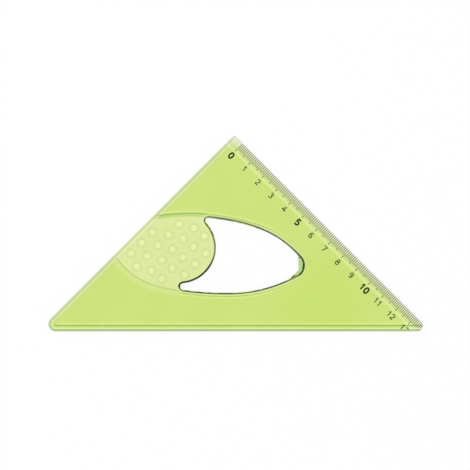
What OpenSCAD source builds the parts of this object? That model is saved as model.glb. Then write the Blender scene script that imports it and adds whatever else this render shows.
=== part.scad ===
// Flexible 45 degree set square: one clear green moulding with a printed centimetre scale.
// It lies flat with the ruled face up. X runs along the long side, Y points to the right angle
// and the origin is under the middle of the box that holds the square.

/* [Blade] */
// Length of each short side, to the sharp corners
leg_len = 147.8; // [140:0.1:165]
// Thickness of the moulding
blade_t = 2; // [1.7:0.05:3]
// Radius of the corner at the plain end of the long side
left_corner_r = 4; // [2:0.1:6]
// Radius of the corner at the ruled end of the long side
right_corner_r = 3; // [1.5:0.1:5]
// Radius of the right-angled corner
apex_r = 1.3; // [0.6:0.1:3]

/* [Edges] */
// Width of the bevel that carries the scale
bevel_w = 6; // [5:0.1:8]
// Thickness left at the thin edge of the bevel
bevel_edge_t = 0.6; // [0.4:0.05:1]
// Width of the inking ledge along the long side, with its sloping step
ledge_w = 3; // [2:0.1:4]
// Width of the ledge's sloping step
ledge_slope_w = 1.4; // [0.5:0.1:1.8]
// Thickness of the inking ledge
ledge_t = 1.3; // [1:0.05:1.5]
// Width of the eased edge along the plain short side
ease_w = 2.6; // [1:0.1:4]
// Drop of the eased edge along the plain short side
ease_drop = 0.65; // [0.1:0.05:0.8]

/* [Eye] */
// Distance from the plain short side to the nose of the eye
eye_reach = 76.4; // [72:0.1:82]
// Height of the nose's centre over the long side
nose_y = 35.2; // [32:0.1:38]
// Radius of the nose
nose_r = 6; // [4:0.1:8]
// Direction in which the nose turns into the upper edge, in degrees
nose_upper_dir = 39; // [35:0.5:44]
// Direction in which the nose turns into the lower edge, in degrees
nose_lower_dir = -60.5; // [-66:0.5:-55]
// Radius of the upper edge next to the nose
upper_front_r = 50; // [45:1:56]
// Direction in which the upper edge changes its radius, in degrees
upper_turn_dir = 72; // [68:0.5:76]
// Radius of the upper edge over the grip
upper_back_r = 114; // [100:1:130]
// Radius of the lower edge next to the nose
lower_front_r = 72.5; // [65:0.5:80]
// Direction in which the lower edge first changes its radius, in degrees
lower_turn_dir = -89; // [-92:0.5:-84]
// Radius of the lower edge under the window
lower_mid_r = 166; // [140:1:190]
// Direction in which the lower edge changes its radius again, in degrees
lower_back_dir = -102; // [-106:0.5:-100]
// Radius of the lower edge under the grip
lower_back_r = 38.5; // [34:0.5:46]
// Width of the flat lip around the window
lip_w = 0.6; // [0.2:0.1:1]
// Width of the sloping wall around the eye
slope_w = 1.3; // [0.8:0.1:2.5]

/* [Grip] */
// Thickness of the grip web, the lip and the floor of the eye
web_t = 1.3; // [0.9:0.05:1.5]
// Distance from the plain short side to the crest of the grip
grip_reach = 41; // [38:0.5:44]
// Radius of the grip's round edge
grip_r = 19.3; // [17:0.1:21]
// Gap between the grip's round edge and the lower edge of the eye
grip_gap = 2.7; // [2:0.1:4]
// Radius of the notch between the grip and the upper edge of the eye
upper_notch_r = 1.3; // [0.6:0.1:2.5]
// Direction, from the grip's centre, in which its edge turns into the lower notch, in degrees
lower_notch_dir = -84.5; // [-94:0.5:-76]
// Diameter of a grip dome
dome_d = 4; // [3:0.1:5]
// Height of a grip dome over the web
dome_h = 0.35; // [0.2:0.05:0.6]
// Distance from the plain short side to the first row of domes
dome_margin = 5.8; // [4:0.1:7]
// Distance between rows of domes
dome_row_pitch = 7; // [6:0.1:7.2]
// Distance between domes in a row
dome_pitch = 8; // [6:0.1:8.5]

/* [Gate tab] */
// Thickness of the trimmed gate tab in the nose
tab_t = 0.8; // [0.5:0.05:1]
// Width of the gate tab at the nose
tab_w = 2.1; // [1:0.1:4]
// Drop from the nose's centre to the bend in the tab's trimmed edge
tab_bend = 2.5; // [0:0.1:4]

/* [Scale] */
// Distance from the sharp right angle to the zero line
scale_start = 6.5; // [3:0.1:12]
// Distance between neighbouring lines: a true millimetre
line_pitch = 1; // [0.5:0.5:2]
// Length of a centimetre line, across the bevel
centimetre_len = 6; // [3:0.1:6]
// Length of a half centimetre line, across the bevel
half_len = 5.2; // [2.5:0.1:6]
// Length of a millimetre line, across the bevel
millimetre_len = 4.2; // [2:0.1:6]
// Width of a printed line
line_w = 0.3; // [0.1:0.02:0.4]
// Thickness of the ink
ink_t = 0.04; // [0.02:0.01:0.1]
// Gap between the printed lines and the edge of the blade
print_gap = 0.3; // [0:0.05:1]

/* [Hidden] */
$fn = 48;
arc_step = 2.5;
over = 2;

// Rows of domes, from the plain short side: how many, and how far the row's middle lies
// past the grip's centre, away from the right angle.
dome_rows = [[3, 12.6], [5, 7.4], [5, 3.4], [5, 2.6], [3, 0.5]];

// The triangle: its height, and the run of a tangent from a sharp 45 degree corner.
apex_y = leg_len / sqrt(2);
corner_run = 1 / tan(22.5);
x_min = left_corner_r * (corner_run - 1) - apex_y;
x_max = apex_y - right_corner_r * (corner_run - 1);
y_max = apex_y - apex_r * (sqrt(2) - 1);
to_origin = [-(x_min + x_max) / 2, -y_max / 2, 0];

// The planes of the bevel and of the ledge's step, and where the bevel meets the ledge's level.
bevel_drop = blade_t - bevel_edge_t;
bevel_rise = bevel_drop / bevel_w;
bevel_at_ledge = (ledge_t - bevel_edge_t) / bevel_rise;
ledge_foot = ledge_w - ledge_slope_w;
ledge_rise = (blade_t - ledge_t) / ledge_slope_w;

function dir(a) = [cos(a), sin(a)];
function bearing(v) = atan2(v.y, v.x);

// An arc from one direction to another, without its last point.
function arc(c, r, from, to) =
    let (steps = max(1, ceil(abs(to - from) / arc_step)))
    [for (i = [0:steps - 1]) c + r * dir(from + (to - from) * i / steps)];

// Each arc of the eye starts square to the end of the last one, so its centre lies on the
// same radius.
function next_centre(c, r, next_r, a) = c + (r - next_r) * dir(a);

nose_c = [nose_y - apex_y + (eye_reach - nose_r) * sqrt(2), nose_y];
upper_front_c = next_centre(nose_c, nose_r, upper_front_r, nose_upper_dir);
upper_back_c = next_centre(upper_front_c, upper_front_r, upper_back_r, upper_turn_dir);
lower_front_c = next_centre(nose_c, nose_r, lower_front_r, nose_lower_dir);
lower_mid_c = next_centre(lower_front_c, lower_front_r, lower_mid_r, lower_turn_dir);
lower_back_c = next_centre(lower_mid_c, lower_mid_r, lower_back_r, lower_back_dir);

// The grip's centre lies on a line along the plain short side, where its round edge keeps its
// gap to the lower edge of the eye. The line starts beside the sharp right angle.
grip_depth = grip_reach - grip_r;
grip_line_start = [0, apex_y] + grip_depth * dir(-45);
to_line_start = grip_line_start - lower_mid_c;
along_line = to_line_start * dir(225);
grip_from_apex =
    sqrt(
        pow(along_line, 2) - to_line_start * to_line_start
        + pow(lower_mid_r - grip_r - grip_gap, 2)
    ) - along_line;
grip_c = grip_line_start + grip_from_apex * dir(225);

// The upper notch touches the grip and the upper edge of the eye, on the window's side.
grip_to_upper = upper_back_c - grip_c;
grip_to_notch = grip_r + upper_notch_r;
upper_notch_dir =
    bearing(grip_to_upper)
    + acos(
        (
            pow(grip_to_notch, 2) + grip_to_upper * grip_to_upper
            - pow(upper_back_r - upper_notch_r, 2)
        ) / (2 * grip_to_notch * norm(grip_to_upper))
    );
upper_notch_c = grip_c + grip_to_notch * dir(upper_notch_dir);

// The lower notch touches the grip in its own direction, and the lower edge of the eye.
grip_to_lower = lower_mid_c - grip_c;
along_notch = grip_to_lower * dir(lower_notch_dir);
lower_notch_r =
    (
        pow(lower_mid_r, 2) - pow(grip_r, 2) + 2 * grip_r * along_notch
        - grip_to_lower * grip_to_lower
    ) / (2 * (grip_r + lower_mid_r - along_notch));
lower_notch_c = grip_c + (grip_r + lower_notch_r) * dir(lower_notch_dir);

// Direction in which an arc of the eye passes out through the plain short side.
function mouth_dir(c, r, turn) =
    135 + turn * acos(min(1, (leg_len / 2 + 2 * over - c * dir(135)) / r));
upper_mouth_dir = mouth_dir(upper_back_c, upper_back_r, -1);
lower_mouth_dir = mouth_dir(lower_back_c, lower_back_r, 1) - 360;

function blade_path() = concat(
    arc([left_corner_r * corner_run - apex_y, left_corner_r], left_corner_r, 135, 270),
    [[0, 0]],
    arc([apex_y - right_corner_r * corner_run, right_corner_r], right_corner_r, -90, 45),
    [apex_y / 2 * [1, 1]],
    arc([0, apex_y - apex_r * sqrt(2)], apex_r, 45, 135),
    [apex_y / 2 * [-1, 1]]
);

// The whole eye, grip and window together, grown by a margin and open past the plain short side.
function eye_path(grow) = concat(
    arc(lower_back_c, lower_back_r + grow, lower_mouth_dir, lower_back_dir),
    arc(lower_mid_c, lower_mid_r + grow, lower_back_dir, lower_turn_dir),
    arc(lower_front_c, lower_front_r + grow, lower_turn_dir, nose_lower_dir),
    arc(nose_c, nose_r + grow, nose_lower_dir, nose_upper_dir),
    arc(upper_front_c, upper_front_r + grow, nose_upper_dir, upper_turn_dir),
    arc(upper_back_c, upper_back_r + grow, upper_turn_dir, upper_mouth_dir),
    [upper_back_c + (upper_back_r + grow) * dir(upper_mouth_dir)]
);

// The window in front of the grip.
function window_path() =
    let (
        upper_dir = bearing(upper_notch_c - upper_back_c),
        lower_dir = bearing(lower_notch_c - lower_mid_c)
    )
    concat(
        arc(nose_c, nose_r, nose_lower_dir, nose_upper_dir),
        arc(upper_front_c, upper_front_r, nose_upper_dir, upper_turn_dir),
        arc(upper_back_c, upper_back_r, upper_turn_dir, upper_dir),
        arc(upper_notch_c, upper_notch_r, upper_dir, upper_notch_dir + 180),
        arc(grip_c, grip_r, upper_notch_dir, lower_notch_dir),
        arc(lower_notch_c, lower_notch_r, lower_notch_dir + 180, lower_dir + 360),
        arc(lower_mid_c, lower_mid_r, lower_dir, lower_turn_dir),
        arc(lower_front_c, lower_front_r, lower_turn_dir, nose_lower_dir)
    );

// X along the ruled short side from the sharp right angle, Y outwards.
module on_ruled_leg() {
    translate([0, apex_y, 0])
        rotate(-45)
            children();
}

// X along the plain short side towards the sharp right angle, Y outwards.
module on_plain_leg() {
    translate([0, apex_y, 0])
        rotate(45)
            translate([-leg_len, 0, 0])
                children();
}

// What a sloping edge takes off along a short side.
module slope_cut(w, drop) {
    rise = drop / w;
    top = blade_t + rise * over;
    translate([-over, 0, 0])
        rotate([90, 0, 90])
            linear_extrude(leg_len + 2 * over)
                polygon([[-w - over, top], [over, blade_t - drop - rise * over], [over, top]]);
}

// What the inking ledge takes off along the long side.
module ledge_cut() {
    top = blade_t + ledge_rise * over;
    translate([-apex_y, 0, 0])
        rotate([90, 0, 90])
            linear_extrude(2 * apex_y)
                polygon([[-over, ledge_t], [ledge_foot, ledge_t], [ledge_w + over, top], [-over, top]]);
}

// What the eye takes off above the web: a flat floor with walls that slope out to the ruled face.
module eye_cut() {
    flare = slope_w / (blade_t - web_t);
    floor_path = eye_path(lip_w);
    roof_path = eye_path(lip_w + slope_w + flare * over);
    n = len(floor_path);
    polyhedron(
        points = concat(
            [for (p = floor_path) [p.x, p.y, web_t]],
            [for (p = roof_path) [p.x, p.y, blade_t + over]]
        ),
        faces = concat(
            [[for (i = [0:n - 1]) i]],
            [[for (i = [n - 1:-1:0]) n + i]],
            [for (i = [0:n - 1]) let (j = (i + 1) % n) [i, n + i, n + j, j]]
        )
    );
}

module window_cut() {
    translate([0, 0, -over])
        linear_extrude(blade_t + 2 * over)
            polygon(window_path());
}

// A low cap of a sphere, with its skirt buried in the web.
module dome() {
    cap_r = (pow(dome_d / 2, 2) + pow(dome_h, 2)) / (2 * dome_h);
    sink = web_t / 4;
    translate([0, 0, web_t])
        rotate_extrude()
            intersection() {
                translate([0, dome_h - cap_r])
                    circle(cap_r);
                translate([0, -sink])
                    square([dome_d, dome_h + sink]);
            }
}

module domes() {
    for (row = [0:len(dome_rows) - 1])
        for (i = [0:dome_rows[row][0] - 1]) {
            past_grip = dome_rows[row][1] + dome_pitch * (i - (dome_rows[row][0] - 1) / 2);
            on_plain_leg()
                translate([
                    leg_len - grip_from_apex - past_grip,
                    -dome_margin - dome_row_pitch * row,
                    0
                ])
                    dome();
        }
}

// The thin crescent left in the nose, where the moulding was cut from its runner.
module gate_tab() {
    edge_x = nose_c.x + nose_r - tab_w;
    bend_y = nose_c.y - tab_bend;
    reach = 2 * (nose_r + tab_w);
    linear_extrude(tab_t)
        intersection() {
            polygon(eye_path(lip_w));
            polygon([
                [edge_x, nose_c.y + reach],
                [edge_x, bend_y],
                [edge_x - reach, bend_y - reach],
                [edge_x + reach, bend_y - reach],
                [edge_x + reach, nose_c.y + reach]
            ]);
        }
}

module blade() {
    color([0.8, 0.89, 0.48, 0.8])
        translate(to_origin) {
            difference() {
                linear_extrude(blade_t)
                    polygon(blade_path());
                on_ruled_leg()
                    slope_cut(bevel_w, bevel_drop);
                on_plain_leg()
                    slope_cut(ease_w, ease_drop);
                ledge_cut();
                eye_cut();
                window_cut();
            }
            domes();
            gate_tab();
        }
}

// How far from the edge a printed line may start: the edge curves away at the ruled corner.
function line_near(s) =
    let (past = s - (leg_len - right_corner_r * corner_run))
    print_gap
    + (past > 0 ? right_corner_r - sqrt(max(0, pow(right_corner_r, 2) - past * past)) : 0);

// How far from the edge it may end: at its own length, the inking ledge or the long side.
function line_far(s, line_len) =
    let (
        to_long_side = leg_len - s,
        over_foot = to_long_side / sqrt(2) - ledge_foot,
        at_step = (ledge_t - bevel_edge_t + ledge_rise * over_foot) / (bevel_rise + ledge_rise / sqrt(2))
    )
    min(line_len, to_long_side - print_gap * sqrt(2), max(bevel_at_ledge, at_step));

last_line = floor((leg_len - scale_start) / line_pitch);

// Lines across the bevel at the given marks of the scale, as thin films of ink.
module printed_lines(marks, line_len) {
    bevel_tilt = atan(bevel_rise);
    color([0.07, 0.08, 0.06])
        translate(to_origin)
            on_ruled_leg()
                for (mark = marks) {
                    s = scale_start + line_pitch * mark;
                    near = line_near(s);
                    far = line_far(s, line_len);
                    if (far - near > line_w)
                        translate([s, -near, bevel_edge_t + near * bevel_rise])
                            rotate([-bevel_tilt, 0, 0])
                                translate([-line_w / 2, -(far - near) / cos(bevel_tilt), 0])
                                    cube([line_w, (far - near) / cos(bevel_tilt), ink_t]);
                }
}

module centimetre_lines() {
    printed_lines([for (m = [0:10:last_line]) m], centimetre_len);
}

module half_centimetre_lines() {
    printed_lines([for (m = [5:10:last_line]) m], half_len);
}

module millimetre_lines() {
    printed_lines([for (m = [1:last_line]) if (m % 5 != 0) m], millimetre_len);
}

blade();
centimetre_lines();
half_centimetre_lines();
millimetre_lines();
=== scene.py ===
import bmesh
import bpy
import numpy as np
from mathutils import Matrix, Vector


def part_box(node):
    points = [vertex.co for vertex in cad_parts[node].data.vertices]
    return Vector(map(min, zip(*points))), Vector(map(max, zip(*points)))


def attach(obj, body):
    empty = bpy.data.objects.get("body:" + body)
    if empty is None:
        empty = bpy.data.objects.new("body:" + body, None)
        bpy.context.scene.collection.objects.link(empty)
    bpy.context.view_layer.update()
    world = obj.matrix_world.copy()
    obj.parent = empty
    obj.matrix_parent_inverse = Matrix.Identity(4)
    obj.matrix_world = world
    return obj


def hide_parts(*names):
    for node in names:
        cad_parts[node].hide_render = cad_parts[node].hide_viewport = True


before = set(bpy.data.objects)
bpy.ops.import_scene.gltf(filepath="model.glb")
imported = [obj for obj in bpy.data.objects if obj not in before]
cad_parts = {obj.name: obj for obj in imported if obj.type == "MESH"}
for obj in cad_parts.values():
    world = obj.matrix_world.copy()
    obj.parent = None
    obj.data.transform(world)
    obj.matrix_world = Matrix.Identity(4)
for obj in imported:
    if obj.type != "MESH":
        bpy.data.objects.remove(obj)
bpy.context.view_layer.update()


# The moulding: one sheet of clear lime plastic, injection moulded through a gate at the nose of its
# eye. The ruled side is bevelled thin, the long side has an inking ledge, the plain side is eased,
# and a thin web across the mouth of the eye is the grip.

# Its sizes are in millimetres. In a name, _r is a radius, _w a width, _t a thickness, _h a height and
# _dir a direction in degrees.
MM = 0.001
leg_len = 147.8
blade_t = 2.0
left_corner_r = 4.0
right_corner_r = 3.0
apex_r = 1.3
bevel_w = 6.0
bevel_edge_t = 0.6
ledge_w = 3.0
ledge_slope_w = 1.4
ledge_t = 1.3
ease_w = 2.6
ease_drop = 0.65
eye_reach = 76.4
nose_y = 35.2
nose_r = 6.0
nose_upper_dir = 39.0
nose_lower_dir = -60.5
upper_front_r = 50.0
upper_turn_dir = 72.0
upper_back_r = 114.0
lower_front_r = 72.5
lower_turn_dir = -89.0
lower_mid_r = 166.0
lower_back_dir = -102.0
lower_back_r = 38.5
lip_w = 0.6
slope_w = 1.3
web_t = 1.3
grip_reach = 41.0
grip_r = 19.3
grip_gap = 2.7
upper_notch_r = 1.3
lower_notch_dir = -84.5
edge_round = 0.2
window_round = 0.35

# The ways that the three sides face, in degrees.
plain_out = 135
ruled_out = 45
long_out = 270

apex_y = leg_len / np.sqrt(2)
right_angle = np.array([0, apex_y])
ledge_foot = ledge_w - ledge_slope_w
bevel_rise = (blade_t - bevel_edge_t) / bevel_w


def heading(degrees):
    """Unit vectors in the directions given."""
    turn = np.radians(degrees)
    return np.stack([np.cos(turn), np.sin(turn)], axis=-1)


def bearing(vectors):
    """The directions of vectors, in degrees."""
    return np.degrees(np.arctan2(vectors[..., 1], vectors[..., 0]))


def outside(points, centre, radius):
    """How far points lie outside a circle: their distance from its centre, less its radius."""
    return np.linalg.norm(points - centre, axis=-1) - radius


def chained(centre, radius, next_radius, turn):
    """Centre of the arc that carries on an arc smoothly from one direction: both centres lie on the
    line through the joint, so they are the difference of the radii apart."""
    return centre + (radius - next_radius) * heading(turn)


# The edge of the eye is six arcs, each tangent to the next.
nose_c = np.array([nose_y - apex_y + (eye_reach - nose_r) * np.sqrt(2), nose_y])
upper_front_c = chained(nose_c, nose_r, upper_front_r, nose_upper_dir)
upper_back_c = chained(upper_front_c, upper_front_r, upper_back_r, upper_turn_dir)
lower_front_c = chained(nose_c, nose_r, lower_front_r, nose_lower_dir)
lower_mid_c = chained(lower_front_c, lower_front_r, lower_mid_r, lower_turn_dir)
lower_back_c = chained(lower_mid_c, lower_mid_r, lower_back_r, lower_back_dir)

# The grip's centre lies on a line along the plain side, where its front keeps its gap from the eye's
# lower edge: there the line meets a circle round that edge's centre.
down_plain = heading(ruled_out + 180)
down_ruled = heading(plain_out + 180)
grip_line_start = right_angle + (grip_reach - grip_r) * down_ruled
to_line_start = grip_line_start - lower_mid_c
along_line = to_line_start @ down_plain
grip_to_mid = lower_mid_r - grip_r - grip_gap
line_to_grip = np.sqrt(along_line ** 2 - to_line_start @ to_line_start + grip_to_mid ** 2) - along_line
grip_c = grip_line_start + line_to_grip * down_plain

# The upper notch touches the grip and the eye's upper edge, so that the three centres make a triangle
# with known sides.
grip_to_upper = upper_back_c - grip_c
grip_to_notch = grip_r + upper_notch_r
notch_to_upper = upper_back_r - upper_notch_r
notch_cosine = grip_to_notch ** 2 + grip_to_upper @ grip_to_upper - notch_to_upper ** 2
notch_cosine /= 2 * grip_to_notch * np.linalg.norm(grip_to_upper)
notch_turn = bearing(grip_to_upper) + np.degrees(np.arccos(notch_cosine))
upper_notch_c = grip_c + grip_to_notch * heading(notch_turn)

# The lower notch touches the grip in its own direction, and its radius lets it touch the eye's lower
# edge too.
grip_to_lower = lower_mid_c - grip_c
along_notch = grip_to_lower @ heading(lower_notch_dir)
lower_notch_r = lower_mid_r ** 2 - grip_r ** 2 + 2 * grip_r * along_notch - grip_to_lower @ grip_to_lower
lower_notch_r /= 2 * (grip_r + lower_mid_r - along_notch)
lower_notch_c = grip_c + (grip_r + lower_notch_r) * heading(lower_notch_dir)

# These places are rounded to a ten-thousandth of a millimetre and the radius to a tenth of that, and
# what follows from them is worked out from the rounded ones.
grip_c, upper_notch_c, lower_notch_c = np.round([grip_c, upper_notch_c, lower_notch_c], 4)
lower_notch_r = np.round(lower_notch_r, 5)
grip_from_apex = (grip_c - right_angle) @ down_plain
upper_notch_dir = bearing(upper_notch_c - grip_c)
upper_notch_at = bearing(upper_notch_c - upper_back_c)
lower_notch_at = bearing(lower_notch_c - lower_mid_c)

# How many points lie along each arc. The two mouths of the eye have as many columns as each other.
low_mouth_counts = (72, 24)
nose_counts = (18, 26, 28, 22, 18)
notch_count = 14
grip_count = 92
mouth_cols = sum(low_mouth_counts)
nose_cols = sum(nose_counts)


def arc(centre, radius, start, end, count):
    """Points round an arc from one direction towards another, without the last."""
    return centre + radius * heading(np.linspace(start, end, count, endpoint=False))


def mouth_dir(centre, radius, turn):
    """Direction from an arc's centre to where the arc meets the plain side, just inside its edge: the
    side's distance from the centre over the radius is the cosine of the angle from its normal."""
    to_side = leg_len / 2 - edge_round - centre @ heading(plain_out)
    return plain_out + turn * np.degrees(np.arccos(to_side / radius))


def nose_runs(grow):
    """The arcs of the eye between its two notches, each wider by grow."""
    arcs = (
        (lower_mid_c, lower_mid_r, lower_notch_at, lower_turn_dir),
        (lower_front_c, lower_front_r, lower_turn_dir, nose_lower_dir),
        (nose_c, nose_r, nose_lower_dir, nose_upper_dir),
        (upper_front_c, upper_front_r, nose_upper_dir, upper_turn_dir),
        (upper_back_c, upper_back_r, upper_turn_dir, upper_notch_at),
    )
    return [
        arc(centre, radius + grow, start, end, count)
        for (centre, radius, start, end), count in zip(arcs, nose_counts)
    ]


def eye_edge(grow):
    """The edge of the eye from the lower mouth round the nose to the upper mouth, wider by grow."""
    low = mouth_dir(lower_back_c, lower_back_r + grow, 1) - 360
    high = mouth_dir(upper_back_c, upper_back_r + grow, -1)
    return np.concatenate([
        arc(lower_back_c, lower_back_r + grow, low, lower_back_dir, low_mouth_counts[0]),
        arc(lower_mid_c, lower_mid_r + grow, lower_back_dir, lower_notch_at, low_mouth_counts[1]),
        *nose_runs(grow),
        arc(upper_back_c, upper_back_r + grow, upper_notch_at, high, mouth_cols),
        [upper_back_c + (upper_back_r + grow) * heading(high)],
    ])


def window_edge(grow):
    """The edge of the window, wider by grow: the nose, the upper notch, the grip's front and the
    lower notch, as one closed line."""
    return np.concatenate([
        *nose_runs(grow),
        arc(upper_notch_c, upper_notch_r + grow, upper_notch_at, upper_notch_dir + 180, notch_count),
        arc(grip_c, grip_r - grow, upper_notch_dir, lower_notch_dir, grip_count),
        arc(lower_notch_c, lower_notch_r + grow, lower_notch_dir + 180, lower_notch_at + 360, notch_count),
    ])


def side_gaps(points):
    """Distances from the long side, the plain side and the ruled side."""
    x, y = points[..., 0], points[..., 1]
    return np.stack([y, (apex_y + x - y) / np.sqrt(2), (apex_y - x - y) / np.sqrt(2)], axis=-1)


def soft_step(x):
    """An S from 0 to 1, level at both ends."""
    x = np.clip(x, 0, 1)
    return x * x * (3 - 2 * x)


def top_height(points, eye_height):
    """Height of the top face: the lowest of the eye's slope, the ledge, the eased side and the bevel."""
    long_gap, plain_gap, ruled_gap = np.moveaxis(side_gaps(points), -1, 0)
    ledge = ledge_t + (blade_t - ledge_t) * soft_step((long_gap - ledge_foot) / ledge_slope_w)
    eased = blade_t - ease_drop * np.clip(1 - plain_gap / ease_w, 0, 1) ** 2
    bevel = bevel_edge_t + bevel_rise * np.clip(ruled_gap, 0, bevel_w)
    return np.minimum(eye_height, np.minimum.reduce([ledge, eased, bevel]))


# The body: a strip whose first rows follow the eye's edge, up its slope and out to a band round it.
eye_band = 4.0
eye_slope_rows = 9
eye_gaps = np.append(lip_w + slope_w * np.linspace(0, 1, eye_slope_rows), eye_band)
eye_rows = np.stack([eye_edge(gap) for gap in eye_gaps])
eye_heights = web_t + (blade_t - web_t) * soft_step((eye_gaps - lip_w) / slope_w)


def along_side(start, end, out, count):
    """Points along a side from start towards end, without the last, and the way that each faces."""
    share = np.linspace(0, 1, count, endpoint=False)[:, None]
    return start + (end - start) * share, np.full(count, out)


def round_corner(centre, radius, start, end, count):
    """Points round a corner from the way one side faces towards the next, and the way that each faces."""
    return arc(centre, radius, start, end, count), np.linspace(start, end, count, endpoint=False)


# The outline has a point for each column of the strip. It starts and ends a little beyond the band,
# and a split in the long side keeps the columns from leaning. The centre of a rounded 45 degree corner
# lies corner_back times its radius from the sharp one, along the long side.
mouth_spread = 0.3
long_split = np.array([-25.0, 0.0])
corner_back = 1 / np.tan(np.radians(45 / 2))
left_c = np.array([left_corner_r * corner_back - apex_y, left_corner_r])
right_c = np.array([apex_y - right_corner_r * corner_back, right_corner_r])
apex_c = right_angle - [0, apex_r * np.sqrt(2)]
low_end = eye_rows[-1, 0] + edge_round * heading(plain_out) + mouth_spread * down_plain
high_end = eye_rows[-1, -1] + edge_round * heading(plain_out) - mouth_spread * down_plain
right_end = right_c + right_corner_r * heading(ruled_out)
apex_start = apex_c + apex_r * heading(ruled_out)
outline_runs = [
    along_side(low_end, left_c + left_corner_r * heading(plain_out), plain_out, count=40),
    round_corner(left_c, left_corner_r, plain_out, long_out, count=16),
    along_side(left_c + left_corner_r * heading(long_out), long_split, long_out, count=40),
    along_side(long_split, right_c + right_corner_r * heading(long_out), long_out, count=36),
    round_corner(right_c, right_corner_r, long_out - 360, ruled_out, count=20),
    along_side(right_end, apex_start, ruled_out, count=48),
    round_corner(apex_c, apex_r, ruled_out, plain_out, count=16),
    along_side(apex_c + apex_r * heading(plain_out), high_end, plain_out, count=88),
    ([high_end], [plain_out]),
]
outline = np.concatenate([points for points, outs in outline_runs])
out_dirs = heading(np.concatenate([outs for points, outs in outline_runs]))
inset = outline - edge_round * out_dirs
inner_gaps = side_gaps(eye_rows[-1])
inset_gaps = side_gaps(inset)
least_run = 1e-6


def reach(widths):
    """How far along each column, from the eye to the outline, it first comes within these distances
    of the sides, as a share. A column that comes no nearer to a side counts as nearing it by a trace, so
    that nothing is divided by 0."""
    along = (widths - inner_gaps) / np.minimum(inset_gaps - inner_gaps, -least_run)
    return np.where(inset_gaps < widths, along, 1).min(axis=1)


# The strip's other rows lie where the sides start to fall, close together down to their foot, and out
# to the rim. Each place is a share of the way to the outline, held so that no two rows meet.
fall_rows = 8
top_share_range = (0.15, 0.9)
least_fall = 0.2
most_foot_share = 0.99
top_share = np.clip(reach(np.array([ledge_w, ease_w, bevel_w])), *top_share_range)
foot_share = reach(np.array([ledge_foot, ease_w / 2, bevel_w / 2]))
foot_share = np.clip(foot_share, top_share + least_fall * (1 - top_share), most_foot_share)
shares = np.concatenate([
    [top_share / 2],
    top_share + (foot_share - top_share) * np.linspace(0, 1, fall_rows)[:, None],
    [(foot_share + 1) / 2, np.ones_like(foot_share)],
])
side_rows = eye_rows[-1] + (inset - eye_rows[-1]) * shares[..., None]
strip = np.concatenate([eye_rows, side_rows])
strip_eye_height = np.append(eye_heights, np.full(len(side_rows), blade_t))
strip_z = top_height(strip, strip_eye_height[:, None])

# The grip web: the blend from the plain side to the window plus the blend from the eye's lower edge to
# its upper one, less the blend of the four corners, which both hold.
low_side = eye_rows[0, :mouth_cols + 1]
high_side = eye_rows[0, -mouth_cols - 1:][::-1]
inner_loop = window_edge(lip_w)
front_side = np.concatenate([inner_loop[nose_cols:], inner_loop[:1]])[::-1]
web_cols = len(front_side) - 1
to_front = np.linspace(0, 1, mouth_cols + 1)[:, None, None]
to_high = np.linspace(0, 1, web_cols + 1)[None, :, None]
back_side = low_side[0] + (high_side[0] - low_side[0]) * to_high[0]
web = (1 - to_front) * back_side + to_front * front_side
web = web + (1 - to_high) * low_side[:, None] + to_high * high_side[:, None]
web -= (1 - to_front) * ((1 - to_high) * low_side[0] + to_high * high_side[0])
web -= to_front * ((1 - to_high) * low_side[-1] + to_high * high_side[-1])

# The domes stand in rows along the plain side. Each row has a count, and a distance from the grip's
# centre to its own middle.
dome_d = 4.0
dome_h = 0.35
dome_margin = 5.8
dome_row_pitch = 7.0
dome_pitch = 8.0
dome_rows = ((3, 12.6), (5, 7.4), (5, 3.4), (5, 2.6), (3, 0.5))
dome_c = np.concatenate([
    right_angle
    + (grip_from_apex + offset + dome_pitch * (np.arange(count)[:, None] - (count - 1) / 2)) * down_plain
    + (dome_margin + dome_row_pitch * row) * down_ruled
    for row, (count, offset) in enumerate(dome_rows)
])
dome_gap = np.linalg.norm(web[:, :, None] - dome_c, axis=-1).min(axis=-1)
web_z = web_t + dome_h * np.clip(1 - (2 * dome_gap / dome_d) ** 2, 0, 1) ** 2

# The mesh keeps, at each point, what tints the plastic there, mostly its painted light and shade:
# distances from edges and lines, and shares that choose between tints. A distance that isn't given is far
# off.
far_off = 50.0
gap_names = (
    "window_gap", "wall", "eye_gap", "mouth", "nose", "rim_gap", "rim_kind", "ruled_gap", "dome_gap",
)
mesh_points, mesh_quads, mesh_gaps = [], [], []


def add_grid(points, heights, closed=False, **known):
    """Adds a grid of points with heights to the mesh as quads: each joins a point to the next in its
    row and to the two beside them in the next row."""
    rows, cols = points.shape[:2]
    first = sum(len(grid) for grid in mesh_points)
    index = first + np.arange(rows * cols).reshape(rows, cols)
    if closed:
        index = np.concatenate([index, index[:, :1]], axis=1)
    quads = np.stack([index[:-1, :-1], index[:-1, 1:], index[1:, 1:], index[1:, :-1]], axis=-1)
    heights = np.broadcast_to(heights, (rows, cols))
    mesh_points.append(np.concatenate([points, heights[..., None]], axis=-1).reshape(-1, 3))
    mesh_quads.append(quads.reshape(-1, 4))
    mesh_gaps.append(np.stack([
        np.broadcast_to(known.get(name, far_off), (rows, cols)).ravel() for name in gap_names
    ], axis=-1))


kind_blend = 2.0


def sides(points):
    """The side distances by name. The long and the plain side are one rim, which turns round the left
    corner as the corner's arc does, and rim_kind goes from 0 on the long side to 1 on the plain one."""
    long_gap, plain_gap, ruled_gap = np.moveaxis(side_gaps(points), -1, 0)
    turn = bearing(points - left_c) % 360
    at_corner = (turn > plain_out) & (turn < long_out)
    corner_kind = (long_out - turn) / (long_out - plain_out)
    side_kind = np.clip(0.5 + (long_gap - plain_gap) / kind_blend, 0, 1)
    corner_gap = -outside(points, left_c, left_corner_r)
    return {
        "rim_gap": np.where(at_corner, corner_gap, np.minimum(long_gap, plain_gap)),
        "rim_kind": np.where(at_corner, corner_kind, side_kind),
        "ruled_gap": ruled_gap,
    }


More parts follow.
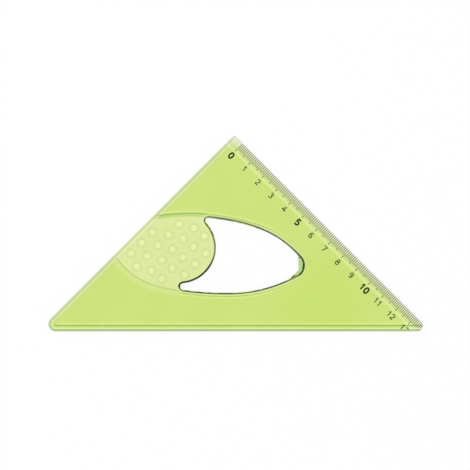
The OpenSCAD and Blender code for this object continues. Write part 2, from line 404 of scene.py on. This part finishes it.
def notch_gap(points):
    """Distance from the nearer of the two notches."""
    return np.minimum(
        outside(points, upper_notch_c, upper_notch_r), outside(points, lower_notch_c, lower_notch_r),
    )


# The wall of the window shows as a line of painted shade that is black at the nose and under the grip and
# olive elsewhere, darker or lighter by the way the wall faces the light. By columns from the lower notch
# round by the nose: how black the painted line is, and how far in from the edge it stands.
loop_cols = len(inner_loop)
wall_stops = (
    (0, 0.0), (20, 0.1), (40, 0.1), (48, 1.0), (72, 1.0), (80, 0.55), (92, 0.45), (112, 0.45),
    (132, 0.1), (150, 0.3), (165, 0.4), (180, 1.0), (225, 1.0), (loop_cols, 0.0),
)
line_in_stops = (
    (0, 0.18), (20, 0.08), (40, 0.06), (48, 0.12), (70, 0.12), (80, -0.1), (90, -0.1), (98, 0.24),
    (146, 0.24), (155, 0.02), (165, -0.05), (225, 0.0), (loop_cols, 0.18),
)
wall_shade = np.interp(np.arange(loop_cols + 1), *zip(*wall_stops))
line_in = np.interp(np.arange(loop_cols + 1), *zip(*line_in_stops))

# On the body, the painted light and shade of the eye's slope go one way at the lower mouth, at -1, another
# at the upper mouth, at 1, and a third beside the window, where they change again round the nose.
blend_cols = 8
nose_stops = ((28, 0), (40, 1), (78, 1), (92, 0))
from_notch = np.arange(strip.shape[1]) - mouth_cols
strip_eye_gap = np.append(eye_gaps, np.full(len(side_rows), far_off))[:, None]
strip_window_gap = notch_gap(strip)
strip_window_gap[:, mouth_cols:mouth_cols + nose_cols + 1] = strip_eye_gap - line_in[:nose_cols + 1]
low_mouth = np.clip(from_notch / blend_cols, -1, 0)
high_mouth = np.clip((from_notch - nose_cols) / blend_cols, 0, 1)
add_grid(
    strip, strip_z, window_gap=strip_window_gap, wall=wall_shade[np.clip(from_notch, 0, nose_cols)],
    eye_gap=strip_eye_gap, mouth=low_mouth + high_mouth, nose=np.interp(from_notch, *zip(*nose_stops)),
    **sides(strip),
)

# The light that a face passes is held at 1, so the underside takes a part of the bevel's painted light.
add_grid(strip, 0.0, ruled_gap=sides(strip)["ruled_gap"])

# On the web, a point belongs to the mouth on its own half.
low_eye_gap = np.where(
    bearing(web - lower_mid_c) > lower_back_dir,
    outside(web, lower_mid_c, lower_mid_r),
    outside(web, lower_back_c, lower_back_r),
)
web_eye_gap = np.maximum(low_eye_gap, outside(web, upper_back_c, upper_back_r))
grip_dir = bearing(web - grip_c)
behind_front = (grip_dir > lower_notch_dir) & (grip_dir < upper_notch_dir)
front_gap = np.where(behind_front, -outside(web, grip_c, grip_r), far_off)
add_grid(
    web, web_z, window_gap=np.minimum(front_gap - line_in[nose_cols:][::-1], notch_gap(web)),
    wall=wall_shade[nose_cols:][::-1], eye_gap=web_eye_gap, mouth=np.where(to_high[..., 0] < 0.5, -1, 1),
    nose=0.0, **sides(web),
)

# The domes' painted light, a bright core and a darker ring where each dome would focus light on the paper,
# is on the underside alone, because the web's own tint fills the top face.
add_grid(web, 0.0, dome_gap=dome_gap)

# The wall of the window: out from the underside, up round its lower edge and over its upper edge on to
# the lip. Both edges are quarter rounds.
round_steps = 5
quarter = np.radians(np.linspace(0, 90, round_steps))
low_turn = edge_round * (1 - np.sin(quarter)), edge_round * (1 - np.cos(quarter))
high_turn = window_round * (1 - np.cos(quarter)), web_t - window_round * (1 - np.sin(quarter))
window_offs = np.concatenate([[lip_w], low_turn[0], high_turn[0], [lip_w]])
window_z = np.concatenate([[0], low_turn[1], high_turn[1], [web_t]])
window_wall = np.stack([window_edge(off) for off in window_offs])
add_grid(
    window_wall, window_z[:, None], closed=True, window_gap=window_offs[:, None] - line_in[:-1],
    wall=wall_shade[:-1],
)


def rim_loop(web_grid, strip_grid):
    """The rim as one closed line: back along the web, out along the strip's first column, round its
    last row and in along its last column."""
    first_col, last_row, last_col = strip_grid[:-1, 0], strip_grid[-1, :-1], strip_grid[:0:-1, -1]
    return np.concatenate([web_grid[0, :0:-1], first_col, last_row, last_col])


# The rim: over the top edge, straight down and under the bottom edge, with both edges quarter rounds.
rim = rim_loop(web, strip)
rim_z = rim_loop(web_z, strip_z)
rim_dirs = np.tile(heading(plain_out), (len(rim), 1))
outline_from = web_cols + len(strip) - 1
rim_dirs[outline_from:outline_from + len(outline) - 1] = out_dirs[:-1]
out = np.concatenate([edge_round * np.sin(quarter), edge_round * np.sin(quarter[::-1])])
drop = edge_round * (1 - np.cos(quarter))
rim_wall = rim + out[:, None, None] * rim_dirs
rim_wall_z = np.concatenate([rim_z - drop[:, None], np.tile(drop[::-1, None], (1, len(rim)))])
add_grid(rim_wall, rim_wall_z, closed=True, **sides(rim_wall))

# The crescent left where the gate was trimmed, a hair clear of the nose. Its trimmed edge runs straight
# down, and below a bend it runs off to the left at 45 degrees until it meets the eye's lower edge.
tab_t = 0.8
tab_w = 2.1
tab_bend = 2.5
tab_clear = 0.02
tab_least_w = 0.01
tab_steps = 49
tab_edge_x = nose_c[0] + nose_r - tab_w
tab_bend_y = nose_y - tab_bend
tab_top = upper_front_c[1] + np.sqrt(upper_front_r ** 2 - (tab_edge_x - upper_front_c[0]) ** 2)
bend_line = tab_edge_x - tab_bend_y
half = (lower_front_c[0] + lower_front_c[1] - bend_line) / 2
apart = (lower_front_c[0] - lower_front_c[1] - bend_line) / 2
tab_bottom = half - np.sqrt(lower_front_r ** 2 / 2 - apart ** 2)
tab_y = np.linspace(tab_bottom, tab_top, tab_steps)


def right_of(centre, radius):
    """The right-hand side of a circle at the crescent's heights."""
    return centre[0] + np.sqrt(np.clip(radius ** 2 - (tab_y - centre[1]) ** 2, 0, None))


upper_joint_y = nose_c[1] + nose_r * heading(nose_upper_dir)[1]
lower_joint_y = nose_c[1] + nose_r * heading(nose_lower_dir)[1]
nose_x = np.where(tab_y > upper_joint_y, right_of(upper_front_c, upper_front_r), right_of(nose_c, nose_r))
nose_x = np.where(tab_y < lower_joint_y, right_of(lower_front_c, lower_front_r), nose_x) - tab_clear
trim_x = np.minimum(tab_edge_x - np.clip(tab_bend_y - tab_y, 0, None), nose_x - tab_least_w)

# Its section, as shares of its width and its thickness: up the trimmed edge, over its eased corner, to
# the nose and back underneath.
tab_section = np.array([(0, 0), (0, 0.75), (0.15, 1), (1, 1), (1, 0), (0, 0)])
tab_x = trim_x + (nose_x - trim_x) * tab_section[:, :1]
tab = np.stack([tab_x, np.broadcast_to(tab_y, tab_x.shape)], axis=-1)

# The crescent has its own place in the window's tints, which darkens it. Its two tips are painted as dark
# as the window's line of painted shade, and fade out over half a tip's length more.
lower_tip = 1.5
upper_tip = 0.9
crescent_gap = -0.2
dark_gap = 0.6
tip_share = soft_step(3 - 2 * np.minimum((tab_y - tab_bottom) / lower_tip, (tab_top - tab_y) / upper_tip))
tab_gap = (1 - tip_share) * (tab_x - nose_x + crescent_gap) + tip_share * dark_gap
add_grid(tab, tab_section[:, 1:] * tab_t, window_gap=tab_gap, wall=1.0)

# The grids are put where the CAD blade lies and welded at their seams. The crescent's two ends are
# still open then, and are filled.
weld_gap = 1e-7
least_edge = 1e-8
large_face_weight = 80
blade_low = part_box("blade")[0]
plan_x = blade_low[0] / MM + apex_y - left_corner_r * (corner_back - 1)
plan_y = blade_low[1] / MM
mesh = bpy.data.meshes.new("clear_blade")
points = (np.concatenate(mesh_points) + [plan_x, plan_y, 0]) * MM
mesh.from_pydata(points.tolist(), [], np.concatenate(mesh_quads).tolist())
for column, name in enumerate(gap_names):
    layer = mesh.attributes.new(name, "FLOAT", "POINT")
    layer.data.foreach_set("value", np.concatenate(mesh_gaps)[:, column].astype(np.float32))
weld = bmesh.new()
weld.from_mesh(mesh)
bmesh.ops.remove_doubles(weld, verts=weld.verts, dist=weld_gap)
bmesh.ops.dissolve_degenerate(weld, edges=weld.edges, dist=least_edge)
crescent_ends = [edge for edge in weld.edges if edge.is_boundary]
bmesh.ops.holes_fill(weld, edges=crescent_ends, sides=0)
bmesh.ops.recalc_face_normals(weld, faces=weld.faces)
weld.to_mesh(mesh)
weld.free()
mesh.shade_smooth()
blade = bpy.data.objects.new("clear_blade", mesh)
bpy.context.collection.objects.link(blade)
weighted = blade.modifiers.new("edge_normals", "WEIGHTED_NORMAL")
weighted.weight = large_face_weight
weighted.keep_sharp = True


def feed(node, inputs):
    """Sets inputs of a node by name or number, each to a value or to another node's output."""
    for key, source in inputs.items():
        if isinstance(source, bpy.types.NodeSocket):
            node.id_data.links.new(source, node.inputs[key])
        else:
            node.inputs[key].default_value = source


def add_node(tree, kind, inputs, **settings):
    """Adds a node to a material, with its settings and its inputs."""
    node = tree.nodes.new(kind)
    for name, setting in settings.items():
        setattr(node, name, setting)
    feed(node, inputs)
    return node


def ranged(tree, value, source, target=(0.0, 1.0), **settings):
    """Carries a value from one range to another, held at the ends."""
    ends = {"From Min": source[0], "From Max": source[1], "To Min": target[0], "To Max": target[1]}
    return add_node(tree, "ShaderNodeMapRange", {"Value": value, **ends}, **settings).outputs["Result"]


def kept_share(tree, name, start, end):
    """A value that the mesh keeps, as a share: 0 at start and 1 at end."""
    kept = add_node(tree, "ShaderNodeAttribute", {}, attribute_name=name)
    return ranged(tree, kept.outputs["Fac"], (start, end))


def line_tint(tree, name, stops):
    """Tints the plastic by a distance that the mesh keeps: each stop is a distance in millimetres and
    the share of light that passes, squared because a face tints by the root of its colour."""
    first, last = stops[0][0], stops[-1][0]
    ramp = add_node(tree, "ShaderNodeValToRGB", {"Fac": kept_share(tree, name, first, last)})
    elements = ramp.color_ramp.elements
    for index, (distance, passing) in enumerate(stops):
        place = (distance - first) / (last - first)
        element = elements[index] if index < 2 else elements.new(place)
        element.position = place
        element.color = (*np.square(passing), 1)
    return ramp.outputs["Color"]


def mixed_tint(tree, share, first, second):
    """Goes from one tint to another by a share."""
    ends = {"Factor": share, "A": first, "B": second}
    return add_node(tree, "ShaderNodeMix", ends, data_type="RGBA").outputs["Result"]


# Plastic and ink are both a little uneven, in soft random patches with finer ones inside them. One
# group gives the patches, so many to the metre, and a tone and a roughness that follow them.
mottle = bpy.data.node_groups.new("mottle", "ShaderNodeTree")
for name, way, kind in (
    ("Place", "INPUT", "NodeSocketVector"), ("Per Metre", "INPUT", "NodeSocketFloat"),
    ("Detail", "INPUT", "NodeSocketFloat"), ("First Tone", "INPUT", "NodeSocketColor"),
    ("Second Tone", "INPUT", "NodeSocketColor"), ("Least Rough", "INPUT", "NodeSocketFloat"),
    ("Most Rough", "INPUT", "NodeSocketFloat"), ("Patches", "OUTPUT", "NodeSocketFloat"),
    ("Tone", "OUTPUT", "NodeSocketColor"), ("Roughness", "OUTPUT", "NodeSocketFloat"),
):
    mottle.interface.new_socket(name, in_out=way, socket_type=kind)
given = add_node(mottle, "NodeGroupInput", {}).outputs
noise = add_node(mottle, "ShaderNodeTexNoise", {
    "Vector": given["Place"], "Scale": given["Per Metre"], "Detail": given["Detail"],
}).outputs["Fac"]
add_node(mottle, "NodeGroupOutput", {
    "Patches": noise, "Tone": mixed_tint(mottle, noise, given["First Tone"], given["Second Tone"]),
    "Roughness": ranged(mottle, noise, (0.0, 1.0), (given["Least Rough"], given["Most Rough"])),
})


def add_mottle(tree, place, per_metre, detail, tones=(), rough=()):
    """Places the group in a material, with the material's own values."""
    inputs = {"Place": place, "Per Metre": per_metre, "Detail": detail}
    inputs.update(zip(("First Tone", "Second Tone"), tones))
    inputs.update(zip(("Least Rough", "Most Rough"), rough))
    return add_node(tree, "ShaderNodeGroup", inputs, node_tree=mottle).outputs


# The plastic is tinted by the depth that light crosses. Its edges, slopes and bevel bend light too, and
# the pale and dark lines that this makes are painted into its tint, as painted highlights and painted
# shade by distance, in red, green and blue.
lime = bpy.data.materials.new("lime_plastic")
lime.use_nodes = True
tree = lime.node_tree
plain_plastic = (1.0, 1.0, 1.0)
web_tint = (1.14, 1.065, 1.46)
crescent_tint = (0.85, 0.93, 1.0)
painted_pale_halo = (1.02, 1.04, 1.15)
# Painted shade: the window's wall shows as a dark line, olive or black, with a painted pale highlight
# beside it.
olive_painted_line = line_tint(tree, "window_gap", (
    (crescent_gap, crescent_tint), (0.0, (0.85, 0.84, 0.4)), (0.15, (0.5, 0.54, 0.2)),
    (0.25, (0.16, 0.2, 0.1)), (0.72, (0.16, 0.2, 0.1)), (0.85, (0.85, 0.87, 0.9)),
    (1.0, plain_plastic), (1.4, painted_pale_halo), (1.9, painted_pale_halo), (2.6, plain_plastic),
))
black_painted_line = line_tint(tree, "window_gap", (
    (crescent_gap, crescent_tint), (0.12, (0.85, 0.92, 0.7)), (0.22, (0.1, 0.16, 0.0)),
    (0.27, (0.01, 0.05, 0.0)), (1.05, (0.01, 0.05, 0.0)), (1.2, (0.7, 0.75, 0.6)),
    (1.32, plain_plastic), (1.6, painted_pale_halo), (1.9, painted_pale_halo), (2.6, plain_plastic),
))
window_painted_lines = mixed_tint(tree, kept_share(tree, "wall", 0.0, 1.0), olive_painted_line, black_painted_line)

# The eye's slope, in painted light and shade: olive with a painted pale line beside the window, fainter
# round the nose, grey at the lower mouth and green at the upper one. At the plain side the painted lines
# stop, and only web and body are left.
beside_window = line_tint(tree, "eye_gap", (
    (0.6, web_tint), (1.4, (1.14, 1.1, 1.64)), (1.75, (0.87, 0.85, 0.95)), (2.0, (0.69, 0.68, 0.6)),
    (2.25, (0.93, 0.93, 0.93)), (2.5, (1.12, 1.1, 1.24)), (3.0, (1.12, 1.1, 1.22)),
    (3.3, (1.03, 1.03, 1.04)), (3.7, plain_plastic),
))
round_nose = line_tint(tree, "eye_gap", (
    (0.6, web_tint), (1.4, (1.18, 1.1, 1.68)), (1.75, (1.06, 1.04, 1.3)), (2.0, (0.87, 0.86, 0.94)),
    (2.25, (0.93, 0.93, 0.97)), (2.5, (1.0, 1.0, 1.05)), (3.0, (1.0, 1.0, 1.05)), (3.5, plain_plastic),
))
at_low_mouth = line_tint(tree, "eye_gap", (
    (0.2, web_tint), (0.5, (0.92, 0.93, 0.95)), (0.7, (0.8, 0.79, 0.82)), (0.95, (0.86, 0.85, 0.92)),
    (1.25, (1.03, 1.0, 1.2)), (1.5, (1.1, 1.07, 1.42)), (2.0, (1.06, 1.04, 1.26)),
    (2.3, (1.09, 1.04, 1.33)), (3.0, (1.07, 1.05, 1.28)), (3.5, (1.06, 1.02, 1.22)),
    (4.3, (1.02, 1.0, 1.1)), (5.0, plain_plastic),
))
at_high_mouth = line_tint(tree, "eye_gap", (
    (0.2, web_tint), (0.5, (0.93, 0.99, 1.09)), (1.0, (0.84, 0.93, 0.98)), (1.5, (0.86, 0.95, 0.97)),
    (1.75, (0.73, 0.86, 0.73)), (2.05, (0.48, 0.64, 0.36)), (2.3, (0.6, 0.74, 0.48)),
    (2.5, (0.76, 0.89, 0.73)), (2.8, (1.06, 1.1, 1.24)), (3.2, (1.1, 1.1, 1.45)),
    (3.6, (1.04, 1.05, 1.22)), (4.4, (1.03, 0.98, 1.12)), (5.0, plain_plastic),
))
at_plain_side = line_tint(tree, "eye_gap", ((lip_w, web_tint), (lip_w + slope_w, plain_plastic)))
lines_fade = (1.3, 2.2)
slope_painted_light = mixed_tint(tree, kept_share(tree, "nose", 0.0, 1.0), beside_window, round_nose)
slope_painted_light = mixed_tint(tree, kept_share(tree, "mouth", 0.0, -1.0), slope_painted_light, at_low_mouth)
slope_painted_light = mixed_tint(tree, kept_share(tree, "mouth", 0.0, 1.0), slope_painted_light, at_high_mouth)
slope_painted_light = mixed_tint(tree, kept_share(tree, "rim_gap", *lines_fade), at_plain_side, slope_painted_light)

# Painted light and shade: the inking ledge with its painted dark step, the painted pale eased side, the
# bevel's painted pale bands and highlight line, and the painted bright cores and dark rings of the domes.
ledge_painted_light = line_tint(tree, "rim_gap", (
    (0.0, (0.94, 1.0, 1.14)), (0.4, (0.63, 0.65, 1.16)), (0.75, (0.57, 0.64, 0.96)),
    (1.0, (0.58, 0.68, 0.85)), (1.25, (1.0, 1.09, 1.28)), (1.5, (1.18, 1.12, 1.65)),
    (1.8, (1.1, 1.12, 1.42)), (2.1, (0.92, 1.06, 1.04)), (2.55, (0.96, 1.08, 1.04)),
    (2.8, (0.75, 0.88, 0.7)), (3.0, (0.4, 0.49, 0.28)), (3.2, (0.5, 0.59, 0.4)),
    (3.5, (0.9, 0.95, 0.93)), (4.0, (1.11, 1.11, 1.33)), (4.4, (1.08, 1.07, 1.2)), (5.2, plain_plastic),
))
eased_painted_light = line_tint(tree, "rim_gap", (
    (0.0, (1.14, 1.09, 1.56)), (0.4, (0.97, 0.9, 1.68)), (0.8, (0.84, 0.78, 1.68)),
    (1.1, (0.89, 0.84, 1.68)), (1.5, (1.07, 1.02, 1.68)), (2.0, (1.1, 1.06, 1.68)),
    (2.5, (1.03, 1.01, 1.33)), (3.2, (0.98, 0.97, 1.11)), (4.2, plain_plastic),
))
rim_painted_light = mixed_tint(tree, kept_share(tree, "rim_kind", 0.0, 1.0), ledge_painted_light, eased_painted_light)
bevel_painted_light = line_tint(tree, "ruled_gap", (
    (0.0, (1.01, 0.96, 1.3)), (0.5, (1.08, 1.015, 1.52)), (1.0, (1.1, 1.04, 1.54)),
    (1.5, (1.08, 1.03, 1.46)), (2.0, (1.08, 1.03, 1.42)), (2.5, (1.07, 1.025, 1.355)),
    (3.0, (1.07, 1.025, 1.31)), (3.5, (1.045, 1.01, 1.25)), (4.0, (1.01, 0.985, 1.145)),
    (4.6, (1.025, 0.99, 1.19)), (5.2, (1.0, 0.97, 1.135)), (5.75, (1.095, 1.06, 1.29)),
    (6.2, (1.08, 1.055, 1.27)), (6.6, (1.04, 1.01, 1.165)), (7.2, plain_plastic),
))
dome_painted_light = line_tint(tree, "dome_gap", (
    (0.0, (1.1, 1.1, 1.27)), (1.1, (1.1, 1.1, 1.27)), (1.6, (0.98, 0.98, 0.98)),
    (2.2, (0.91, 0.91, 0.91)), (2.7, (0.96, 0.96, 0.96)), (3.3, plain_plastic),
))

# The plastic itself is a little cloudy from its flow, and the tint is a shade darker round a spot towards
# the right corner. A face can't add light, so the tints together are held at 1.
flow_per_m = 40.0
flow_detail = 3.0
lime_tones = ((0.685, 0.795, 0.325, 1), (0.738, 0.847, 0.385, 1))
depth_tint = (0.95, 0.9925, 0.647)
depth_per_m = 800.0
deep_at = np.array([48.0, 15.0])
deep_fades = np.array([8.0, 34.0])
deep_tint = (0.98, 0.995, 0.9)
place = add_node(tree, "ShaderNodeTexCoord", {}).outputs["Object"]
flow = add_mottle(tree, place, flow_per_m, flow_detail, tones=lime_tones)
deep_spot = (*((deep_at + [plan_x, plan_y]) * MM), 0.0)
deep_from = add_node(tree, "ShaderNodeVectorMath", {0: place, 1: deep_spot}, operation="DISTANCE")
deep_share = ranged(tree, deep_from.outputs["Value"], deep_fades * MM, interpolation_type="SMOOTHSTEP")
deeper = mixed_tint(tree, deep_share, (*np.square(deep_tint), 1), (*plain_plastic, 1))
tint = flow["Tone"]
for line in (window_painted_lines, slope_painted_light, rim_painted_light, bevel_painted_light, dome_painted_light, deeper):
    product = add_node(tree, "ShaderNodeVectorMath", {0: tint, 1: line}, operation="MULTIPLY")
    tint = product.outputs["Vector"]
held = add_node(tree, "ShaderNodeVectorMath", {0: tint, 1: plain_plastic}, operation="MINIMUM")

# The finish is the mould's polish, a fine grain in the gloss, with faint hairlines from use that lie
# slanted along the sheet, and a slow ripple from the flow.
grain_per_m = 900.0
grain_detail = 4.0
polish = (0.02, 0.06)
plastic_ior = 1.49
hairline_turn = (0.0, 0.0, 0.45)
hairlines_per_m = (70.0, 2600.0, 70.0)
hairline_range = (0.66, 0.76)
hairline_dull = 0.16
ripple_strength = 0.05
ripple_h = 0.1
gloss = add_mottle(tree, place, grain_per_m, grain_detail, rough=polish)["Roughness"]
drawn_out = add_node(tree, "ShaderNodeMapping", {
    "Vector": place, "Rotation": hairline_turn, "Scale": hairlines_per_m,
})
hairline = add_mottle(tree, drawn_out.outputs["Vector"], per_metre=1.0, detail=1.0)["Patches"]
scuff = ranged(tree, hairline, hairline_range, (0.0, hairline_dull))
worn = add_node(tree, "ShaderNodeMath", {0: gloss, 1: scuff}, operation="ADD")
ripple = add_node(tree, "ShaderNodeBump", {
    "Height": flow["Patches"], "Strength": ripple_strength, "Distance": ripple_h * MM,
})
depth = add_node(tree, "ShaderNodeVolumeAbsorption", {"Color": (*depth_tint, 1), "Density": depth_per_m})
feed(tree.nodes["Principled BSDF"], {
    "Base Color": held.outputs["Vector"], "Roughness": worn.outputs["Value"],
    "Normal": ripple.outputs["Normal"], "IOR": plastic_ior, "Transmission Weight": 1.0,
})
feed(tree.nodes["Material Output"], {"Volume": depth.outputs["Volume"]})

# Light that enters the sheet by an edge turns many times inside it before it leaves.
light_turns = 64
light_paths = bpy.context.scene.cycles
light_paths.max_bounces = light_turns
light_paths.glossy_bounces = light_turns
light_paths.transmission_bounces = light_turns
mesh.materials.append(lime)
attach(blade, "root")
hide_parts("blade")


# The scale: lines and numerals in black ink, printed in one pass on the bevel and the flat beside it.
# The ink is thin and a little uneven, so its colour and gloss vary across each stroke.
ink_tones = ((0.006, 0.007, 0.005, 1), (0.016, 0.018, 0.012, 1))
ink_sheen = (0.45, 0.7)
ink_gloss = 0.15
ink_specks_per_m = 2500.0
ink_speck_detail = 3.0
ink_skin_strength = 0.2
ink_skin_h = 0.02
ink = bpy.data.materials.new("scale_ink")
ink.use_nodes = True
tree = ink.node_tree
place = add_node(tree, "ShaderNodeTexCoord", {}).outputs["Object"]
specks = add_mottle(tree, place, ink_specks_per_m, ink_speck_detail, ink_tones, ink_sheen)
skin = add_node(tree, "ShaderNodeBump", {
    "Height": specks["Patches"], "Strength": ink_skin_strength, "Distance": ink_skin_h * MM,
})
feed(tree.nodes["Principled BSDF"], {
    "Base Color": specks["Tone"], "Roughness": specks["Roughness"], "Normal": skin.outputs["Normal"],
    "Specular IOR Level": ink_gloss,
})
for name in ("centimetre_lines", "half_centimetre_lines", "millimetre_lines"):
    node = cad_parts[name]
    node.data.materials.clear()
    node.data.materials.append(ink)

# A digit is drawn one high in a narrow box, then widened. Half a stroke's width and the step from one
# digit to the next are shares of its height too.
digit_box = np.array([0.56, 1.0])
digit_wide = 1.25
digit_step = 0.8
numeral_stroke = 0.08
bold_stroke = 0.12
bow_points = 24
mitre_limit = 2.0


def bow(x, y, wide, tall, start, end):
    """Points round part of an ellipse, from one direction towards another: the arc of a circle drawn
    out to a half width and a half height of its own."""
    return arc(np.array([x, y]), np.array([wide, tall]), start, end, bow_points)


def digit_paths(digit):
    """The centre lines of a plain digit: runs of straight lines and bows. A 9 is a 6 turned round."""
    five_top = [(0.48, 0.93), (0.15, 0.93), (0.1, 0.5)]
    six = np.concatenate([bow(0.3, 0.5, 0.23, 0.45, 50, 180), bow(0.28, 0.29, 0.21, 0.25, 180, 555)])
    return {
        0: [bow(0.28, 0.5, 0.21, 0.45, 90, 465)],
        1: [np.array([(0.1, 0.7), (0.3, 0.93), (0.3, 0.02)])],
        2: [np.concatenate([bow(0.27, 0.68, 0.21, 0.27, 165, -40), [(0.06, 0.05), (0.52, 0.05)]])],
        3: [np.concatenate([bow(0.26, 0.72, 0.2, 0.23, 150, -85), bow(0.26, 0.28, 0.23, 0.24, 85, -155)])],
        4: [np.array([(0.38, 0.02), (0.38, 0.93), (0.03, 0.27), (0.55, 0.27)])],
        5: [np.concatenate([five_top, bow(0.26, 0.31, 0.23, 0.27, 125, -155)])],
        6: [six],
        7: [np.array([(0.04, 0.93), (0.5, 0.93), (0.2, 0.02)])],
        8: [bow(0.28, 0.73, 0.18, 0.21, 90, 465), bow(0.28, 0.28, 0.22, 0.25, 90, 465)],
        9: [digit_box - six],
    }[digit]


def ribbon(path, half_w):
    """Both edges of a stroke: each point of the path moved sideways, along the mean of the normals of
    the runs before and after it, and further at a bend so that the stroke keeps its width."""
    run = np.diff(path, axis=0)
    side = np.stack([-run[:, 1], run[:, 0]], axis=-1) / np.linalg.norm(run, axis=1)[:, None]
    before = np.concatenate([side[:1], side])
    after = np.concatenate([side, side[-1:]])
    mean = before + after
    mean /= np.linalg.norm(mean, axis=1)[:, None]
    bend_cosine = np.maximum((mean * before).sum(axis=1), 1 / mitre_limit)
    push = mean * (half_w / bend_cosine)[:, None]
    return np.stack([path + push, path - push])


# The numerals stand in a row along the ruled side, each a little past its line. Every fifth is bold.
scale_start = 6.5
centimetre = 10.0
last_number = 13
bold_every = 5
numeral_d = 8.95
numeral_on = 0.15
numeral_h = 3.1
bold_h = 3.6
print_sheet = bmesh.new()
for number in range(last_number + 1):
    bold = number % bold_every == 0
    tall = bold_h if bold else numeral_h
    half_stroke = bold_stroke if bold else numeral_stroke
    figures = str(number)
    middle = (digit_box[0] * digit_wide + digit_step * (len(figures) - 1)) / 2
    for order, figure in enumerate(figures):
        for path in digit_paths(int(figure)):
            stroke = ribbon(path * [digit_wide, 1], half_stroke)
            across = stroke[..., 0] + digit_step * order - middle
            along = scale_start + centimetre * number + numeral_on + tall * across
            inward = numeral_d - tall * (stroke[..., 1] - digit_box[1] / 2)
            spots = right_angle + along[..., None] * down_ruled + inward[..., None] * down_plain
            spots = np.concatenate([spots, np.zeros((*spots.shape[:2], 1))], axis=-1).reshape(-1, 3)
            count = len(path)
            first = np.arange(count - 1)
            quads = np.stack([first, first + count, first + count + 1, first + 1], axis=-1)
            flat = bpy.data.meshes.new("stroke")
            flat.from_pydata(spots.tolist(), [], quads.tolist())
            print_sheet.from_mesh(flat)
            bpy.data.meshes.remove(flat)

# The print is cut off near the long side, and lies down over the ledge's slope in four bends.
print_cut = 0.9
ledge_bends = (ledge_foot, 2.0, 2.6, ledge_w)
for level in (print_cut, *ledge_bends):
    bmesh.ops.bisect_plane(
        print_sheet, geom=[*print_sheet.verts, *print_sheet.edges, *print_sheet.faces],
        plane_co=(0, level, 0), plane_no=(0, 1, 0), clear_inner=level == print_cut,
    )
numerals_mesh = bpy.data.meshes.new("numerals")
print_sheet.to_mesh(numerals_mesh)
print_sheet.free()
spots = np.empty(len(numerals_mesh.vertices) * 3)
numerals_mesh.vertices.foreach_get("co", spots)
spots = spots.reshape(-1, 3)
spots[:, 2] = top_height(spots[:, :2], blade_t)
numerals_mesh.vertices.foreach_set("co", ((spots + [plan_x, plan_y, 0]) * MM).ravel())
numerals_mesh.update()
numerals_mesh.materials.append(ink)
numerals = bpy.data.objects.new("numerals", numerals_mesh)
bpy.context.collection.objects.link(numerals)
ink_t = 0.03
body = numerals.modifiers.new("ink_body", "SOLIDIFY")
body.thickness = ink_t * MM
body.offset = 1.0
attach(numerals, "root")


# The stage: a plain white sweep a hair under the square, in soft light from all round and from one
# large softbox. The sweep mostly glows white to the camera and through the plastic, and what is left of
# its matte paper takes the square's soft shadow. The stage's sizes are in metres.
floor_gap = 0.0003
half_floor = 3.0
glow_share = 0.9
sheet = bpy.data.meshes.new("floor")
corners = np.array([[-1, -1, 0], [1, -1, 0], [1, 1, 0], [-1, 1, 0]]) * half_floor - [0, 0, floor_gap]
sheet.from_pydata(corners.tolist(), [], [(0, 1, 2, 3)])
floor = bpy.data.objects.new("floor", sheet)
bpy.context.collection.objects.link(floor)
paper = bpy.data.materials.new("white_sweep")
paper.use_nodes = True
tree = paper.node_tree
tree.nodes.remove(tree.nodes["Principled BSDF"])
ray = add_node(tree, "ShaderNodeLightPath", {})
seen = ray.outputs["Is Camera Ray"]
for kind in ("Is Transmission Ray", "Is Glossy Ray"):
    either = add_node(tree, "ShaderNodeMath", {0: seen, 1: ray.outputs[kind]}, operation="MAXIMUM")
    seen = either.outputs["Value"]
glowing = add_node(tree, "ShaderNodeMath", {0: seen, 1: glow_share}, operation="MULTIPLY")
matte = add_node(tree, "ShaderNodeBsdfDiffuse", {"Color": (0.95, 0.95, 0.95, 1)})
glow = add_node(tree, "ShaderNodeEmission", {"Color": (1, 1, 1, 1), "Strength": 1.0})
mixed = add_node(tree, "ShaderNodeMixShader", {
    "Fac": glowing.outputs["Value"], 1: matte.outputs["BSDF"], 2: glow.outputs["Emission"],
})
feed(tree.nodes["Material Output"], {"Surface": mixed.outputs["Shader"]})
sheet.materials.append(paper)

world = bpy.data.worlds.new("soft_light")
bpy.context.scene.world = world
world.use_nodes = True
feed(world.node_tree.nodes["Background"], {"Color": (1, 1, 1, 1), "Strength": 0.9})
softbox = bpy.data.lights.new("softbox", "AREA")
softbox.size = 1.2
softbox.energy = 3.0
softbox_obj = bpy.data.objects.new("softbox", softbox)
softbox_obj.location = (-0.5, 0.4, 1.1)
softbox_obj.rotation_euler = (-0.33, -0.42, 0.0)
softbox_obj.visible_glossy = False
softbox_obj.visible_transmission = False
bpy.context.collection.objects.link(softbox_obj)

# The camera hangs straight over the square, with a long lens that takes in the photograph's width.
view_middle = (-0.00037, -0.00072)
view_up = 1.2
view_wide = 0.25007
sensor = 36.0
lens = bpy.data.cameras.new("photo_camera")
lens.sensor_width = sensor
lens.lens = sensor * view_up / view_wide
lens.clip_start = 0.01
camera = bpy.data.objects.new("photo_camera", lens)
camera.location = (*view_middle, view_up)
bpy.context.collection.objects.link(camera)
bpy.context.scene.camera = camera
bpy.context.scene.view_settings.view_transform = "Standard"
